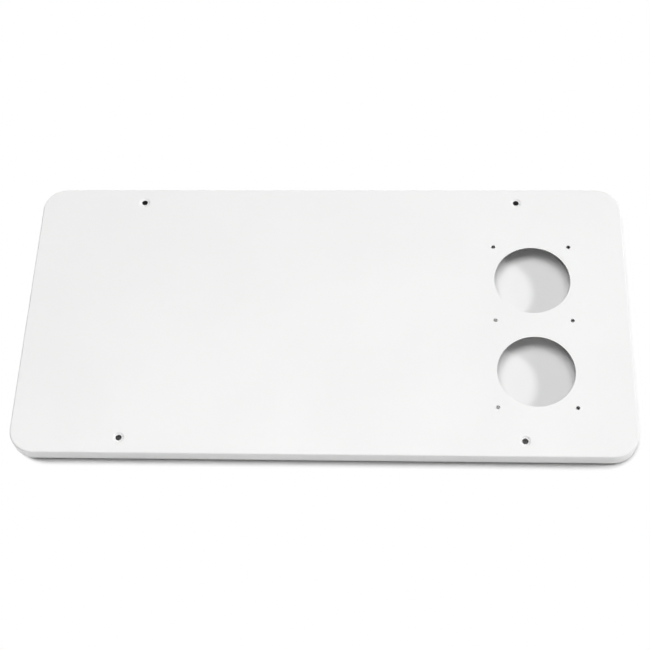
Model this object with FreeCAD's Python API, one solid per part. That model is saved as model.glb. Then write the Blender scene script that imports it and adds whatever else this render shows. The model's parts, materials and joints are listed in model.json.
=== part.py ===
import FreeCAD, Part
import math
import os

# Furnace access door for a caravan or motorhome: a shallow pan pressed from one steel sheet,
# with two flue openings, dished holes for its fixing screws and a foam seal inside its rim.
# Millimetres. X runs along the door, Y up the wall that it covers, Z out of that wall.
# The origin is the centre of the plane in which the seal meets the wall.

# Pan
door_length = 609.6
door_height = 306.0
rim_depth = 13.5             # outside, from the face to the edge of the rim
sheet = 0.8                  # steel
bend_inside = 0.8            # inside radius where the face turns into the rim
corner_radius = 25.0         # outside radius of the four corners, in plan

# Foam seal: one length of tape, stuck under the face close to the rim
seal_width = 8.0
seal_proud = 2.4             # how far it stands below the edge of the rim, uncompressed
seal_clearance = 0.2         # between the tape and the inside of the bend
seal_joint = 0.6             # gap where the two ends of the tape meet, below the middle

# Four fixing screws, each in a shallow dish pressed into the face just inside the seal
screw_pitch_x = 393.0
screw_hole = 6.0
dish_depth = 0.8
dish_run = 2.35              # width of the sloping ring, from the face down to the seat
dish_seat = 0.7              # width of the flat ring round the hole
dish_clearance = 0.65        # between the dish and the seal

# Two flue openings, one above the other
vent_diameter = 77.0
vent_pitch = 104.0
vent_inset = 94.8            # from the right-hand end of the door to their centres
vent_drop = 9.6              # from the middle of the door down to the middle of the pair

# Six holes for the screws of a vent cover: two columns, three rows
cover_hole = 4.0
cover_column_pitch = 77.0
cover_margin = 1.0           # of the outer rows, beyond the edges of the openings
cover_middle_rise = 5.0      # of the middle row, above the middle of the pair

# Heights and places that follow
overcut = 1.0                # how far a cutting solid runs past what it cuts
rim_edge = seal_proud
face_top = rim_edge + rim_depth
face_under = face_top - sheet
bend_outside = bend_inside + sheet
seal_setback = bend_outside + seal_clearance
dish_radius = screw_hole / 2 + dish_seat + dish_run
screw_inset = seal_setback + seal_width + dish_clearance + dish_radius
screw_pitch_y = door_height - 2 * screw_inset
vent_x = door_length / 2 - vent_inset
cover_row = vent_pitch / 2 + vent_diameter / 2 + cover_margin


def rounded_block(inset, bottom, top):
    """A block with the door's plan, drawn in by inset all round, between two heights."""
    half_x = door_length / 2 - inset
    half_y = door_height / 2 - inset
    block = Part.makeBox(2 * half_x, 2 * half_y, top - bottom, FreeCAD.Vector(-half_x, -half_y, bottom))
    uprights = [edge for edge in block.Edges if edge.BoundBox.ZLength > (top - bottom) / 2]
    return block.makeFillet(corner_radius - inset, uprights)


def round_top_edge(block, radius):
    """The same block with the edge round its top face rounded over."""
    top = block.BoundBox.ZMax
    rim = [edge for edge in block.Edges if edge.BoundBox.ZMin > top - radius / 2]
    return block.makeFillet(radius, rim)


def dish_space(depth):
    """The space over a screw dish, on the Z axis, down to a given depth within its sheet.

    Two equal arcs, turning one way and then the other, carry the face down to the seat.
    Their centres serve both sides of the sheet, so the steel keeps its thickness in the slope.
    """
    turn = 2 * math.atan2(dish_depth, dish_run)
    press_radius = dish_run / (2 * math.sin(turn))
    lip = FreeCAD.Vector(dish_radius, 0, face_top - press_radius)
    seat = FreeCAD.Vector(dish_radius - dish_run, 0, face_top - dish_depth + press_radius)

    def on_lip(angle):
        return lip + FreeCAD.Vector(-math.sin(angle), 0, math.cos(angle)) * (press_radius - depth)

    def on_seat(angle):
        return seat + FreeCAD.Vector(math.sin(angle), 0, -math.cos(angle)) * (press_radius + depth)

    roof = face_top + overcut
    edges = [
        Part.Arc(on_lip(0), on_lip(turn / 2), on_lip(turn)).toShape(),
        Part.Arc(on_seat(turn), on_seat(turn / 2), on_seat(0)).toShape(),
    ]
    edges += Part.makePolygon([
        on_seat(0),
        FreeCAD.Vector(0, 0, on_seat(0).z),
        FreeCAD.Vector(0, 0, roof),
        FreeCAD.Vector(dish_radius, 0, roof),
        on_lip(0),
    ]).Edges
    section = Part.Face(Part.Wire(edges))
    return section.revolve(FreeCAD.Vector(0, 0, 0), FreeCAD.Vector(0, 0, 1), 360)


def screw_places():
    """Centres of the four fixing screws."""
    half_x = screw_pitch_x / 2
    half_y = screw_pitch_y / 2
    return [(x, y) for x in (-half_x, half_x) for y in (-half_y, half_y)]


def vent_places():
    """Centres of the two flue openings."""
    return [(vent_x, -vent_drop + side * vent_pitch / 2) for side in (-1, 1)]


def cover_places():
    """Centres of the six holes for the vent cover."""
    columns = [vent_x + side * cover_column_pitch / 2 for side in (-1, 1)]
    rows = [-vent_drop + rise for rise in (-cover_row, cover_middle_rise, cover_row)]
    return [(x, y) for x in columns for y in rows]


def punches(diameter, places):
    """Round punches that pass right through the face."""
    height = rim_depth + 2 * overcut
    return [
        Part.makeCylinder(diameter / 2, height, FreeCAD.Vector(x, y, face_top + overcut - height))
        for x, y in places
    ]


def spread(solid, places):
    """Copies of a solid made on the Z axis, one at each place."""
    return [solid.translated(FreeCAD.Vector(x, y, 0)) for x, y in places]


def door_panel():
    """The pan: a solid outside less a hollow, both with the dishes, then punched."""
    outside = round_top_edge(rounded_block(0, rim_edge, face_top), bend_outside)
    outside = outside.cut(spread(dish_space(0), screw_places()))
    hollow = round_top_edge(rounded_block(sheet, rim_edge - overcut, face_under), bend_inside)
    hollow = hollow.cut(spread(dish_space(sheet), screw_places()))
    holes = punches(screw_hole, screw_places())
    holes += punches(vent_diameter, vent_places())
    holes += punches(cover_hole, cover_places())
    return outside.cut(hollow).cut(holes)


def rim_seal():
    """The foam tape, bent round the corners, with its ends meeting under the middle of the door."""
    outer = rounded_block(seal_setback, 0, face_under)
    inner = rounded_block(seal_setback + seal_width, -overcut, face_under + overcut)
    joint = Part.makeBox(
        seal_joint,
        seal_width + 2 * overcut,
        face_under + 2 * overcut,
        FreeCAD.Vector(-seal_joint / 2, -door_height / 2 + seal_setback - overcut, -overcut),
    )
    return outer.cut([inner, joint])


def only_solid(shape):
    """The one solid that a cut leaves, out of its wrapping."""
    solid, = shape.Solids
    return solid


os.makedirs("parts", exist_ok=True)
for name, shape in (("door_panel", door_panel()), ("rim_seal", rim_seal())):
    only_solid(shape).exportStep("parts/" + name + ".step")
    print(name, "valid" if shape.isValid() else "INVALID", round(shape.Volume, 1), "mm3")
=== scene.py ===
import json
import math
import bpy
from mathutils import Matrix, Vector


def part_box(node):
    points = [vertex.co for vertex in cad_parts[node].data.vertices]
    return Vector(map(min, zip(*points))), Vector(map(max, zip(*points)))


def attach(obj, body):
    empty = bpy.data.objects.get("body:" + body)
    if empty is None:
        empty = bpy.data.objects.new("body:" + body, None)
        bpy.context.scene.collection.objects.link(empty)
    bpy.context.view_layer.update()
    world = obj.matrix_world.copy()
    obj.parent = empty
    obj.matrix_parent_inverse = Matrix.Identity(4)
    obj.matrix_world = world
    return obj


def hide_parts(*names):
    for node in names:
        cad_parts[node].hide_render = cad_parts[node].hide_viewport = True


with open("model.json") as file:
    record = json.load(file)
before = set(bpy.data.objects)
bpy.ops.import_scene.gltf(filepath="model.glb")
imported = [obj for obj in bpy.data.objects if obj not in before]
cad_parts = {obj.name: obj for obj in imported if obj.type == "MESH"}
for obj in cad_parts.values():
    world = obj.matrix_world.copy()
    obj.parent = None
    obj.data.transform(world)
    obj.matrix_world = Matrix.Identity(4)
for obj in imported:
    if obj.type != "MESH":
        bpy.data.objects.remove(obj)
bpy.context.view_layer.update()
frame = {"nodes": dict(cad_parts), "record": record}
scene = bpy.context.scene
scene.view_settings.view_transform = "Standard"

# The door as packed: every place below is worked out from these
mm = 0.001
mounts = {mount["name"]: mount for mount in frame["record"]["mounts"]}
panel = frame["nodes"]["door_panel"]
panelLow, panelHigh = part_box("door_panel")
sealLow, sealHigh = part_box("rim_seal")
sheet = mounts["flue_upper"]["dims"]["length_mm"] * mm
faceTop = panelHigh.z
faceUnder = faceTop - sheet
rimEdge = panelLow.z
doorCorner = 25.0 * mm               # radius of the four corners in plan
print("frame loaded, door", [round(side, 4) for side in panelHigh - panelLow])


# Small helpers for node trees
def fillSocket(tree, socket, value):
    if isinstance(value, bpy.types.NodeSocket):
        tree.links.new(value, socket)
    else:
        socket.default_value = value


def addNode(tree, kind, inputs=None, **settings):
    made = tree.nodes.new(kind)
    for name, value in settings.items():
        setattr(made, name, value)
    for key, value in (inputs or {}).items():
        fillSocket(tree, made.inputs[key], value)
    return made


def calc(tree, operation, *values):
    return addNode(tree, "ShaderNodeMath", dict(enumerate(values)), operation=operation).outputs[0]


def combine(tree, operation, *values):
    made = addNode(tree, "ShaderNodeVectorMath", dict(enumerate(values)), operation=operation)
    return made.outputs["Value" if operation in ("LENGTH", "DOT_PRODUCT") else "Vector"]


def axes(tree, vector):
    return addNode(tree, "ShaderNodeSeparateXYZ", {"Vector": vector}).outputs


def fromAxes(tree, **sides):
    return addNode(tree, "ShaderNodeCombineXYZ", sides).outputs["Vector"]


def ramp(tree, value, fromLow, fromHigh, toLow=0.0, toHigh=1.0):
    inputs = {"Value": value, "From Min": fromLow, "From Max": fromHigh, "To Min": toLow, "To Max": toHigh}
    return addNode(tree, "ShaderNodeMapRange", inputs, interpolation_type="SMOOTHSTEP").outputs["Result"]


def mixColour(tree, mask, first, second):
    # sockets 6 and 7 and output 2 are the colour ones
    made = addNode(tree, "ShaderNodeMix", {0: mask, 6: first, 7: second}, data_type="RGBA")
    return made.outputs[2]


def newGroup(name, kind, inputs, outputs):
    tree = bpy.data.node_groups.new(name, kind)
    for direction, sockets in (("INPUT", inputs), ("OUTPUT", outputs)):
        for label, socketType, *start in sockets:
            socket = tree.interface.new_socket(label, in_out=direction, socket_type=socketType)
            if start:
                socket.default_value = start[0]
    given = tree.nodes.new("NodeGroupInput").outputs
    wanted = tree.nodes.new("NodeGroupOutput").inputs
    return tree, given, wanted


def useGroup(tree, group, values):
    return addNode(tree, "ShaderNodeGroup", values, node_tree=group).outputs


def newMaterial(name):
    material = bpy.data.materials.new(name)
    material.use_nodes = True
    material.node_tree.nodes.clear()
    return material, material.node_tree


def finishMaterial(tree, inputs):
    shader = addNode(tree, "ShaderNodeBsdfPrincipled", inputs)
    addNode(tree, "ShaderNodeOutputMaterial", {"Surface": shader.outputs["BSDF"]})


def grey(level, warmth=0.0):
    return (level, level, level * (1 - warmth), 1.0)


# Orange peel: the low soft ripples of a baked coat
peel = {
    "ripple": 350.0,                 # scale of the ripples
    "rippleDetail": 1.5,
    "rippleRoughness": 0.4,
    "grain": 1600.0,                 # scale of the fine grain on them
    "grainShare": 0.15,
}


def buildPeel():
    tree, given, wanted = newGroup(
        "orangePeel", "ShaderNodeTree",
        [("Place", "NodeSocketVector"),
         ("Ripple", "NodeSocketFloat", peel["ripple"]),
         ("Grain", "NodeSocketFloat", peel["grain"])],
        [("Height", "NodeSocketFloat")])
    ripple = addNode(tree, "ShaderNodeTexNoise", {
        "Vector": given["Place"],
        "Scale": given["Ripple"],
        "Detail": peel["rippleDetail"],
        "Roughness": peel["rippleRoughness"]})
    grain = addNode(tree, "ShaderNodeTexNoise", {
        "Vector": given["Place"], "Scale": given["Grain"], "Detail": 0.0})
    fine = calc(tree, "MULTIPLY", grain.outputs["Fac"], peel["grainShare"])
    fillSocket(tree, wanted["Height"], calc(tree, "ADD", ripple.outputs["Fac"], fine))
    return tree


# Handling marks: broad soft clouding, and a few small specks
marks = {
    "cloud": 9.0,                    # scale of the clouds
    "cloudDetail": 3.0,
    "cloudRoughness": 0.55,
    "cloudDistortion": 0.3,
    "cloudFrom": 0.35,               # noise levels between which a cloud comes in
    "cloudTo": 0.7,
    "speck": 90.0,                   # scale of the cells that may hold a speck
    "cleanShare": 0.9,               # of the cells
    "speckFrom": 0.03,               # distances from its middle over which a speck fades
    "speckTo": 0.06,
}


def buildMarks():
    tree, given, wanted = newGroup(
        "handlingMarks", "ShaderNodeTree",
        [("Place", "NodeSocketVector"),
         ("Cloud", "NodeSocketFloat", marks["cloud"]),
         ("Speck", "NodeSocketFloat", marks["speck"])],
        [("Clouding", "NodeSocketFloat"), ("Specks", "NodeSocketFloat")])
    cloud = addNode(tree, "ShaderNodeTexNoise", {
        "Vector": given["Place"],
        "Scale": given["Cloud"],
        "Detail": marks["cloudDetail"],
        "Roughness": marks["cloudRoughness"],
        "Distortion": marks["cloudDistortion"]})
    clouding = ramp(tree, cloud.outputs["Fac"], marks["cloudFrom"], marks["cloudTo"])
    fillSocket(tree, wanted["Clouding"], clouding)
    cells = addNode(tree, "ShaderNodeTexVoronoi", {"Vector": given["Place"], "Scale": given["Speck"]})
    chance = addNode(tree, "ShaderNodeSeparateColor", {"Color": cells.outputs["Color"]})
    few = calc(tree, "GREATER_THAN", chance.outputs["Red"], marks["cleanShare"])
    small = ramp(tree, cells.outputs["Distance"], marks["speckFrom"], marks["speckTo"], 1.0, 0.0)
    fillSocket(tree, wanted["Specks"], calc(tree, "MULTIPLY", few, small))
    return tree


def buildOutline():
    # how far a place lies outside a rectangle with rounded corners, in plan; less than 0 is inside
    tree, given, wanted = newGroup(
        "doorOutline", "ShaderNodeTree",
        [("Place", "NodeSocketVector"), ("Half", "NodeSocketVector"), ("Corner", "NodeSocketFloat")],
        [("Distance", "NodeSocketFloat")])
    past = combine(tree, "SUBTRACT", combine(tree, "ABSOLUTE", given["Place"]), given["Half"])
    past = combine(tree, "MULTIPLY", past, (1.0, 1.0, 0.0))
    past = combine(tree, "ADD", past, fromAxes(tree, X=given["Corner"], Y=given["Corner"]))
    outside = combine(tree, "LENGTH", combine(tree, "MAXIMUM", past, (0.0, 0.0, 0.0)))
    side = axes(tree, past)
    inside = calc(tree, "MINIMUM", calc(tree, "MAXIMUM", side["X"], side["Y"]), 0.0)
    whole = calc(tree, "SUBTRACT", calc(tree, "ADD", outside, inside), given["Corner"])
    fillSocket(tree, wanted["Distance"], whole)
    return tree


peelGroup = buildPeel()
marksGroup = buildMarks()
outlineGroup = buildOutline()
print("shared effects built")

# Painted steel of the door
enamel = {
    "face": grey(0.88, 0.004),
    "faceCloud": grey(0.0),
    "faceClouding": 0.012,
    "faceRoughness": 0.38,
    "back": grey(0.50, 0.01),        # thin primer on the side that faces the wall
    "backCloud": grey(0.3),
    "backClouding": 0.18,
    "backRoughness": 0.62,
    "cloudDulling": 0.05,            # roughness that a cloud adds
    "speck": grey(0.35),
    "speckStrength": 0.12,
    "cut": grey(0.14, 0.03),         # bare steel in the punched edges, made darker as painted shade along their rims
    "cutMetal": 0.6,
    "peelStrength": 0.05,
    "peelDepth": 0.4 * mm,
    "upWeight": 0.3,                 # of the way a face looks up or down, in telling the two sides apart
    "uprightBelow": 0.3,             # a wall is upright if its normal rises or falls by less
    "rimBand": 3.0 * mm,             # from the outline in, where an upright wall is the rim
    "trim": 0.02 * mm,               # height of the bare edge of the rim
}


def makeEnamel():
    material, tree = newMaterial("whiteEnamel")
    coords = addNode(tree, "ShaderNodeTexCoord").outputs
    place = coords["Object"]
    facing = axes(tree, coords["Normal"])
    spot = axes(tree, place)
    outline = useGroup(tree, outlineGroup, {"Place": place, "Half": panelHigh, "Corner": doorCorner})
    # the wall side: faces that look down, or in towards the middle of the door
    outwardX = calc(tree, "MULTIPLY", facing["X"], spot["X"])
    outwardY = calc(tree, "MULTIPLY", facing["Y"], spot["Y"])
    outward = calc(tree, "ADD", outwardX, outwardY)
    showing = calc(tree, "MULTIPLY_ADD", facing["Z"], enamel["upWeight"], outward)
    back = calc(tree, "LESS_THAN", showing, 0.0)
    # punched edges: upright walls away from the rim, and the edge of the rim itself
    upright = calc(tree, "LESS_THAN", calc(tree, "ABSOLUTE", facing["Z"]), enamel["uprightBelow"])
    within = calc(tree, "LESS_THAN", outline["Distance"], -enamel["rimBand"])
    trimmed = calc(tree, "LESS_THAN", spot["Z"], rimEdge + enamel["trim"])
    cut = calc(tree, "MAXIMUM", calc(tree, "MULTIPLY", upright, within), trimmed)
    # clouded paint and primer, then the specks, then the bare cut edges, darkened as painted shade
    wear = useGroup(tree, marksGroup, {"Place": place})
    faceClouding = calc(tree, "MULTIPLY", wear["Clouding"], enamel["faceClouding"])
    faceTone = mixColour(tree, faceClouding, enamel["face"], enamel["faceCloud"])
    backClouding = calc(tree, "MULTIPLY", wear["Clouding"], enamel["backClouding"])
    backTone = mixColour(tree, backClouding, enamel["back"], enamel["backCloud"])
    colour = mixColour(tree, back, faceTone, backTone)
    specks = calc(tree, "MULTIPLY", wear["Specks"], enamel["speckStrength"])
    colour = mixColour(tree, specks, colour, enamel["speck"])
    colour = mixColour(tree, cut, colour, enamel["cut"])
    gloss = calc(tree, "MULTIPLY_ADD", wear["Clouding"], enamel["cloudDulling"], enamel["faceRoughness"])
    roughness = calc(tree, "MULTIPLY_ADD", back, enamel["backRoughness"] - enamel["faceRoughness"], gloss)
    ripples = useGroup(tree, peelGroup, {"Place": place})
    bump = addNode(tree, "ShaderNodeBump", {
        "Height": ripples["Height"],
        "Strength": enamel["peelStrength"],
        "Distance": enamel["peelDepth"]})
    finishMaterial(tree, {
        "Base Color": colour,
        "Roughness": roughness,
        "Metallic": calc(tree, "MULTIPLY", cut, enamel["cutMetal"]),
        "Normal": bump.outputs["Normal"]})
    return material


enamelMaterial = makeEnamel()
for slot in panel.material_slots:
    slot.material = enamelMaterial
print("door painted")


# Pieces made by geometry nodes
def newShapeTree(name, inputs):
    shape = ("Geometry", "NodeSocketGeometry")
    finish = ("Finish", "NodeSocketMaterial")
    return newGroup(name, "GeometryNodeTree", [shape] + inputs + [finish], [shape])


def finishShape(tree, wanted, shape, finish):
    smooth = addNode(tree, "GeometryNodeSetShadeSmooth", {"Geometry": shape})
    whole = addNode(tree, "GeometryNodeRealizeInstances", {"Geometry": smooth.outputs["Geometry"]})
    painted = addNode(tree, "GeometryNodeSetMaterial", {
        "Geometry": whole.outputs["Geometry"], "Material": finish})
    fillSocket(tree, wanted["Geometry"], painted.outputs["Geometry"])


def growPiece(name, start, tree, values):
    # run the tree on a starting mesh, and keep the result as a plain mesh at the origin
    holder = bpy.data.objects.new(name + "Start", start)
    scene.collection.objects.link(holder)
    modifier = holder.modifiers.new(name, "NODES")
    modifier.node_group = tree
    for item in tree.interface.items_tree:
        if item.item_type == "SOCKET" and item.in_out == "INPUT" and item.name in values:
            modifier[item.identifier] = values[item.name]
    grown = holder.evaluated_get(bpy.context.evaluated_depsgraph_get())
    mesh = bpy.data.meshes.new_from_object(grown)
    holder.modifiers.remove(modifier)
    bpy.data.objects.remove(holder)
    piece = bpy.data.objects.new(name, mesh)
    scene.collection.objects.link(piece)
    print(name, "made,", len(mesh.polygons), "faces")
    return piece


# Foam tape inside the rim
foam = {
    "width": 8.0 * mm,
    "joint": 0.6 * mm,               # between its two ends, below the middle of the door
    "slack": 0.15 * mm,              # kept free for the uneven skin
    "edgeRound": 0.8 * mm,
    "edgePoints": 3,
    "cornerPoints": 24,
    "pinch": 0.05,                   # how much narrower it is where it is stuck and where it rests
    "step": 3.0 * mm,                # along the tape
    "profileStep": 1.3 * mm,
    "ripple": 0.11 * mm,
    "rippleScale": 260.0,
    "rippleDetail": 2.0,
    "seed": 4.0,
    "pucker": 0.35 * mm,             # creases on the inside of each corner
    "puckerPitch": 5.2 * mm,
    "puckerRun": 2.0 * mm,           # over which the creases set in at a corner's ends
    "puckerFrom": 0.5,               # how squarely a wall looks in, where creases set in
    "puckerTo": 0.9,
    "cellScale": 1500.0,
    "wallFrom": 0.1,                 # distances from a cell's middle over which its wall rises
    "wallTo": 0.6,
    "wallStrength": 0.6,
    "wallHeight": 0.3 * mm,
    "dark": grey(0.10, -0.05),
    "light": grey(0.22, -0.03),
    "cloud": grey(0.26),
    "cloudScale": 30.0,
    "clouding": 0.35,
    "speck": grey(0.4),
    "speckScale": 260.0,
    "speckStrength": 0.4,
    "roughness": 0.84,
    "wallRoughness": 0.12,           # added on the cell walls
}


def makeFoam():
    material, tree = newMaterial("sealFoam")
    place = addNode(tree, "ShaderNodeTexCoord").outputs["Object"]
    cells = addNode(tree, "ShaderNodeTexVoronoi", {"Vector": place, "Scale": foam["cellScale"]})
    walls = ramp(tree, cells.outputs["Distance"], foam["wallFrom"], foam["wallTo"])
    wear = useGroup(tree, marksGroup, {
        "Place": place, "Cloud": foam["cloudScale"], "Speck": foam["speckScale"]})
    colour = mixColour(tree, walls, foam["dark"], foam["light"])
    clouding = calc(tree, "MULTIPLY", wear["Clouding"], foam["clouding"])
    colour = mixColour(tree, clouding, colour, foam["cloud"])
    specks = calc(tree, "MULTIPLY", wear["Specks"], foam["speckStrength"])
    colour = mixColour(tree, specks, colour, foam["speck"])
    roughness = calc(tree, "MULTIPLY_ADD", walls, foam["wallRoughness"], foam["roughness"])
    bump = addNode(tree, "ShaderNodeBump", {
        "Height": walls, "Strength": foam["wallStrength"], "Distance": foam["wallHeight"]})
    finishMaterial(tree, {"Base Color": colour, "Roughness": roughness, "Normal": bump.outputs["Normal"]})
    return material


def buildTape():
    # a rounded strip swept round the route, with an uneven skin and creased inner corners
    tree, given, wanted = newShapeTree("foamTape", [
        ("Corner Radius", "NodeSocketFloat"), ("Straight", "NodeSocketVector"),
        ("Width", "NodeSocketFloat"), ("Height", "NodeSocketFloat"), ("Edge Round", "NodeSocketFloat"),
        ("Pinch", "NodeSocketFloat"), ("Step", "NodeSocketFloat"), ("Profile Step", "NodeSocketFloat"),
        ("Ripple", "NodeSocketFloat"), ("Ripple Scale", "NodeSocketFloat"), ("Seed", "NodeSocketFloat"),
        ("Pucker", "NodeSocketFloat"), ("Pucker Pitch", "NodeSocketFloat")])
    route = addNode(tree, "GeometryNodeMeshToCurve", {"Mesh": given["Geometry"]}).outputs["Curve"]
    route = addNode(tree, "GeometryNodeFilletCurve", {
        "Curve": route,
        "Count": foam["cornerPoints"],
        "Radius": given["Corner Radius"]}, mode="POLY").outputs["Curve"]
    route = addNode(tree, "GeometryNodeResampleCurve", {
        "Curve": route, "Length": given["Step"]}, mode="LENGTH").outputs["Curve"]
    along = addNode(tree, "GeometryNodeSplineParameter").outputs["Length"]
    route = addNode(tree, "GeometryNodeStoreNamedAttribute", {
        "Geometry": route,
        "Name": "along",
        "Value": along}, data_type="FLOAT", domain="POINT").outputs["Geometry"]
    section = addNode(tree, "GeometryNodeCurvePrimitiveQuadrilateral", {
        "Width": given["Width"], "Height": given["Height"]}).outputs["Curve"]
    section = addNode(tree, "GeometryNodeFilletCurve", {
        "Curve": section,
        "Count": foam["edgePoints"],
        "Radius": given["Edge Round"]}, mode="POLY").outputs["Curve"]
    section = addNode(tree, "GeometryNodeResampleCurve", {
        "Curve": section, "Length": given["Profile Step"]}, mode="LENGTH").outputs["Curve"]
    # barrel sides: the strip is widest half-way up
    spot = addNode(tree, "GeometryNodeInputPosition").outputs["Position"]
    side = axes(tree, spot)
    up = calc(tree, "DIVIDE", calc(tree, "MULTIPLY", side["Y"], 2.0), given["Height"])
    less = calc(tree, "MULTIPLY", calc(tree, "MULTIPLY", up, up), given["Pinch"])
    inwards = calc(tree, "MULTIPLY", calc(tree, "MULTIPLY", side["X"], less), -1.0)
    section = addNode(tree, "GeometryNodeSetPosition", {
        "Geometry": section, "Offset": fromAxes(tree, X=inwards)}).outputs["Geometry"]
    strip = addNode(tree, "GeometryNodeCurveToMesh", {
        "Curve": route, "Profile Curve": section, "Fill Caps": True}).outputs["Mesh"]
    # uneven skin
    normal = addNode(tree, "GeometryNodeInputNormal").outputs["Normal"]
    noise = addNode(tree, "ShaderNodeTexNoise", {
        "Vector": spot,
        "W": given["Seed"],
        "Scale": given["Ripple Scale"],
        "Detail": foam["rippleDetail"]}, noise_dimensions="4D")
    swell = calc(tree, "MULTIPLY_ADD", noise.outputs["Fac"], 2.0, -1.0)
    swell = calc(tree, "MULTIPLY", swell, given["Ripple"])
    # creases: on the side that looks in, only where the route turns
    beyond = axes(tree, combine(tree, "SUBTRACT", combine(tree, "ABSOLUTE", spot), given["Straight"]))
    turning = ramp(tree, calc(tree, "MINIMUM", beyond["X"], beyond["Y"]), 0.0, foam["puckerRun"])
    flat = combine(tree, "MULTIPLY", combine(tree, "SIGN", spot), (-1.0, -1.0, 0.0))
    inner = ramp(tree, combine(tree, "DOT_PRODUCT", normal, flat), foam["puckerFrom"], foam["puckerTo"])
    stored = addNode(tree, "GeometryNodeInputNamedAttribute", {"Name": "along"}, data_type="FLOAT")
    turn = calc(tree, "DIVIDE", stored.outputs["Attribute"], given["Pucker Pitch"])
    turn = calc(tree, "MULTIPLY", turn, 2 * math.pi)
    crease = calc(tree, "MULTIPLY", calc(tree, "SUBTRACT", calc(tree, "SINE", turn), 1.0), given["Pucker"])
    crease = calc(tree, "MULTIPLY", crease, calc(tree, "MULTIPLY", turning, inner))
    skin = combine(tree, "SCALE", normal)
    fillSocket(tree, skin.node.inputs["Scale"], calc(tree, "ADD", swell, crease))
    strip = addNode(tree, "GeometryNodeSetPosition", {"Geometry": strip, "Offset": skin})
    finishShape(tree, wanted, strip.outputs["Geometry"], given["Finish"])
    return tree


def tapeRoute():
    # centre line of the tape, from one cut end round to the other, with square corners
    inset = foam["width"] / 2
    farX, farY = sealHigh.x - inset, sealHigh.y - inset
    middle = (sealLow.z + sealHigh.z) / 2
    end = foam["joint"] / 2
    places = [(end, -farY), (farX, -farY), (farX, farY), (-farX, farY), (-farX, -farY), (-end, -farY)]
    mesh = bpy.data.meshes.new("tapeRoute")
    mesh.from_pydata([(x, y, middle) for x, y in places], [(i, i + 1) for i in range(len(places) - 1)], [])
    return mesh


sealCorner = doorCorner - (panelHigh.x - sealHigh.x) - foam["width"] / 2
sealReach = Vector((sealHigh.x, sealHigh.y, 0)) - Vector((1, 1, 0)) * (foam["width"] / 2 + sealCorner)
sealFoam = growPiece("sealFoam", tapeRoute(), buildTape(), {
    "Corner Radius": sealCorner,
    "Straight": sealReach,
    "Width": foam["width"] - 2 * foam["slack"],
    "Height": sealHigh.z - sealLow.z - 2 * foam["slack"],
    "Edge Round": foam["edgeRound"],
    "Pinch": foam["pinch"],
    "Step": foam["step"],
    "Profile Step": foam["profileStep"],
    "Ripple": foam["ripple"],
    "Ripple Scale": foam["rippleScale"],
    "Seed": foam["seed"],
    "Pucker": foam["pucker"],
    "Pucker Pitch": foam["puckerPitch"],
    "Finish": makeFoam(),
})
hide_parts("rim_seal")
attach(sealFoam, "root")

# Burrs that the punch leaves under the holes
burr = {
    "width": 0.16 * mm,              # radius of the bead
    "sink": 0.05 * mm,               # of its middle, below the sheet
    "rise": 0.12 * mm,               # of its middle, outside the hole
    "uneven": 0.55,
    "unevenScale": 420.0,
    "seed": 11.0,
    "sides": 6,
    "around": 72,
    "dished": "fixing_screws",       # the holes that lie lower, in their dishes
    "holes": ("fixing_screws", "flue_upper", "flue_lower", "vent_cover_corners", "vent_cover_middle"),
}


def holesOf(name):
    # centres of the holes of one mount, and their radius
    mount = mounts[name]
    size = mount["dims"]
    middle = Vector(mount["pos_m"])
    if mount["kind"] == "bore":
        return [middle], size["r_mm"] * mm
    halfX = size["spacing_x_mm"] / 2 * mm
    halfY = size.get("spacing_y_mm", 0.0) / 2 * mm
    rows = sorted({-halfY, halfY})
    return [middle + Vector((x, y, 0)) for x in (-halfX, halfX) for y in rows], size["hole_r_mm"] * mm


def burrPlaces():
    # one point under each hole, with the radius of the bead's middle line
    places, radii = [], []
    for name in burr["holes"]:
        centres, radius = holesOf(name)
        pressed = faceTop - centres[0].z if name == burr["dished"] else 0.0
        for centre in centres:
            places.append((centre.x, centre.y, faceUnder - pressed - burr["sink"]))
            radii.append(radius + burr["rise"])
    mesh = bpy.data.meshes.new("burrPlaces")
    mesh.from_pydata(places, [], [])
    mesh.attributes.new("holeRadius", "FLOAT", "POINT").data.foreach_set("value", radii)
    return mesh


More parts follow.
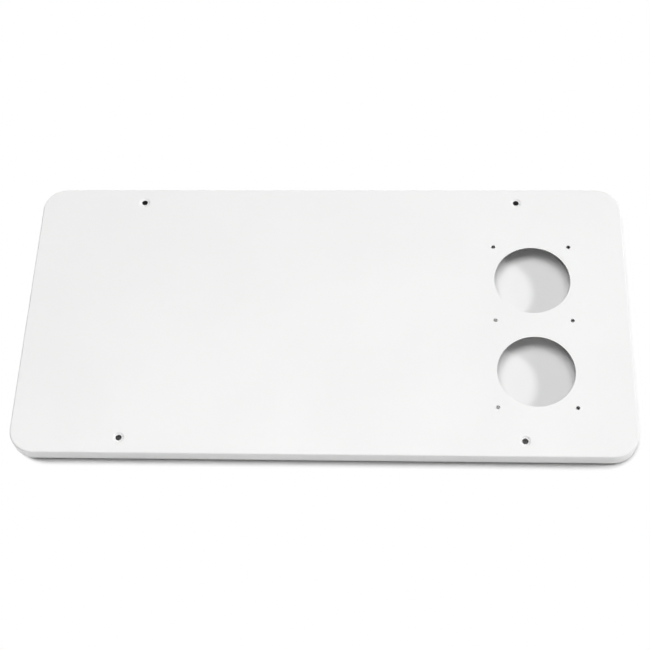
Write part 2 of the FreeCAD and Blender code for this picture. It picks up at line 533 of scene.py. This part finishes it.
def buildBurrs():
    # an uneven bead round each hole
    tree, given, wanted = newShapeTree("punchBurrs", [
        ("Width", "NodeSocketFloat"), ("Around", "NodeSocketInt"), ("Sides", "NodeSocketInt"),
        ("Uneven", "NodeSocketFloat"), ("Uneven Scale", "NodeSocketFloat"), ("Seed", "NodeSocketFloat")])
    ring = addNode(tree, "GeometryNodeCurvePrimitiveCircle", {"Resolution": given["Around"], "Radius": 1.0})
    radius = addNode(tree, "GeometryNodeInputNamedAttribute", {"Name": "holeRadius"}, data_type="FLOAT")
    points = addNode(tree, "GeometryNodeMeshToPoints", {"Mesh": given["Geometry"]})
    rings = addNode(tree, "GeometryNodeInstanceOnPoints", {
        "Points": points.outputs["Points"],
        "Instance": ring.outputs["Curve"],
        "Scale": radius.outputs["Attribute"]})
    rings = addNode(tree, "GeometryNodeRealizeInstances", {"Geometry": rings.outputs["Instances"]})
    rings = addNode(tree, "GeometryNodeSetCurveRadius", {"Curve": rings.outputs["Geometry"], "Radius": 1.0})
    bead = addNode(tree, "GeometryNodeCurvePrimitiveCircle", {
        "Resolution": given["Sides"], "Radius": given["Width"]})
    spot = addNode(tree, "GeometryNodeInputPosition").outputs["Position"]
    noise = addNode(tree, "ShaderNodeTexNoise", {
        "Vector": spot, "W": given["Seed"], "Scale": given["Uneven Scale"]}, noise_dimensions="4D")
    swell = calc(tree, "SUBTRACT", noise.outputs["Fac"], 0.5)
    thick = calc(tree, "MULTIPLY_ADD", swell, given["Uneven"], 1.0)
    beads = addNode(tree, "GeometryNodeCurveToMesh", {
        "Curve": rings.outputs["Curve"], "Profile Curve": bead.outputs["Curve"], "Scale": thick})
    finishShape(tree, wanted, beads.outputs["Mesh"], given["Finish"])
    return tree


punchBurrs = growPiece("punchBurrs", burrPlaces(), buildBurrs(), {
    "Width": burr["width"],
    "Around": burr["around"],
    "Sides": burr["sides"],
    "Uneven": burr["uneven"],
    "Uneven Scale": burr["unevenScale"],
    "Seed": burr["seed"],
    "Finish": enamelMaterial,
})
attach(punchBurrs, "root")

# Floor: white paper, which keeps the shadow close round the door and glows plain white further out,
# painting light over the rest of the cast shadow
paper = {
    "size": 6.0,
    "tone": grey(0.92),
    "leftIn": 5.0 * mm,              # the white is measured from a line this far inside the left end,
    "corner": 35.0 * mm,             # with wider corners than the door
    "fadeFrom": 2.3 * mm,
    "fadeTo": 7.8 * mm,
}


def seenRays(tree):
    # 1 for what the camera sees, straight, in gloss or through glass
    rays = addNode(tree, "ShaderNodeLightPath").outputs
    mirrored = calc(tree, "MAXIMUM", rays["Is Glossy Ray"], rays["Is Transmission Ray"])
    return calc(tree, "MAXIMUM", rays["Is Camera Ray"], mirrored)


def makeFloor():
    bpy.ops.mesh.primitive_plane_add(size=paper["size"])
    floor = bpy.context.object
    floor.name = "floor"
    material, tree = newMaterial("palePaper")
    place = addNode(tree, "ShaderNodeTexCoord").outputs["Object"]
    middle = Vector((paper["leftIn"] / 2, 0, 0))
    outline = useGroup(tree, outlineGroup, {
        "Place": combine(tree, "SUBTRACT", place, middle),
        "Half": panelHigh - middle,
        "Corner": paper["corner"]})
    # glowing plain white a few millimetres out: painted light over the rest of the shadow that the door
    # drops
    white = ramp(tree, outline["Distance"], paper["fadeFrom"], paper["fadeTo"])
    white = calc(tree, "MULTIPLY", white, seenRays(tree))
    finishMaterial(tree, {
        "Base Color": mixColour(tree, white, paper["tone"], grey(0.0)),
        "Roughness": 1.0,
        "Specular IOR Level": 0.0,
        "Emission Color": mixColour(tree, white, grey(0.0), grey(1.0)),
        "Emission Strength": 1.0})
    floor.data.materials.append(material)


# Studio light
light = {
    "room": 0.066,
    "lamps": {
        "softBox": {
            "place": (-0.07, 0.87, 4.0),
            "aim": (0.21, -0.01, 0.0),
            "size": (3.64, 2.46),
            "power": 120.0,
            "highlight": True,
        },
        "lowLamp": {
            "place": (8.42, 1.25, 3.5),
            "aim": (0.21, -0.01, 0.0),
            "size": (2.1, 0.75),
            "power": 470.0,
            "highlight": False,      # seen along the face, its reflection would burn out
        },
        "frontCard": {
            "place": (-0.7, -3.0, 0.24),
            "aim": (0.0, 0.0, 0.0),
            "size": (2.4, 0.36),
            "power": 16.4,
            "highlight": True,
        },
        "viewLamp": {
            "place": (0.096, -0.774, 1.413),
            "aim": (0.0, 0.0, 0.0),
            "size": (0.25, 0.25),
            "power": 1.7,
            "highlight": True,
        },
    },
}


def makeWorld():
    world = bpy.data.worlds.new("studio")
    scene.world = world
    world.use_nodes = True
    tree = world.node_tree
    tree.nodes.clear()
    strength = calc(tree, "MULTIPLY_ADD", seenRays(tree), 1.0 - light["room"], light["room"])
    shader = addNode(tree, "ShaderNodeBackground", {"Color": grey(1.0), "Strength": strength})
    addNode(tree, "ShaderNodeOutputWorld", {"Surface": shader.outputs["Background"]})


def addLamp(name, wanted):
    lamp = bpy.data.lights.new(name, "AREA")
    lamp.shape = "RECTANGLE"
    lamp.size, lamp.size_y = wanted["size"]
    lamp.energy = wanted["power"]
    made = bpy.data.objects.new(name, lamp)
    made.location = wanted["place"]
    away = Vector(wanted["place"]) - Vector(wanted["aim"])
    made.rotation_euler = away.to_track_quat("Z", "Y").to_euler()
    made.visible_glossy = wanted["highlight"]
    scene.collection.objects.link(made)


makeFloor()
makeWorld()
for name, wanted in light["lamps"].items():
    addLamp(name, wanted)
print("studio lit")

# Camera at the photo's viewing angle
view = {
    "place": (0.0801, -0.6827, 1.2412),
    "lens": 76.97,
    "sensor": 36.0,
    "shift": -0.018,                 # sideways, as a share of the frame
    "turn": math.radians(5.778),
    "tilt": math.radians(61.145),    # below the horizon
    "roll": math.radians(-4.752),
}


def makeCamera():
    lens = bpy.data.cameras.new("photoView")
    lens.lens = view["lens"]
    lens.sensor_width = view["sensor"]
    lens.shift_x = view["shift"]
    camera = bpy.data.objects.new("photoView", lens)
    camera.matrix_world = (
        Matrix.Translation(view["place"])
        @ Matrix.Rotation(view["turn"], 4, "Z")
        @ Matrix.Rotation(math.pi / 2 - view["tilt"], 4, "X")
        @ Matrix.Rotation(view["roll"], 4, "Z"))
    scene.collection.objects.link(camera)
    scene.camera = camera


makeCamera()
print("camera set")
